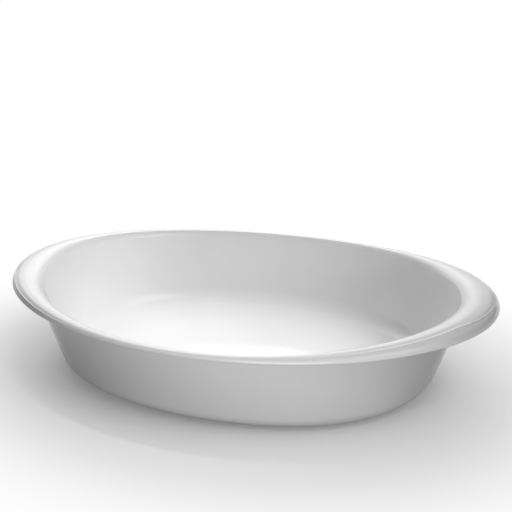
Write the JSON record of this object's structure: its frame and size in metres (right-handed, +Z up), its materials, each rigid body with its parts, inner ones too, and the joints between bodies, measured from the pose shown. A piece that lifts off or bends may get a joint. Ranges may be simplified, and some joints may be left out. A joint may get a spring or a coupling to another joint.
{
  "type": "gratin dish",
  "caption": "White glazed oval gratin dish with a rolled rim that widens into a handle at each end.",
  "frame": {"origin": "centre of the foot ring's bearing face, where the dish stands", "axes": "+X through a handle along the length, +Y across the width, +Z up"},
  "size_m": [0.36, 0.2572, 0.0707],
  "materials": {
    "porcelain": "unglazed, fine and matt where the foot ring shows it",
    "glaze": "glossy white glaze"
  },
  "bodies": {
    "root": {"porcelain_body": "porcelain", "glaze_coat": "glaze", "underside_glaze": "glaze"}
  },
  "joints": []
}
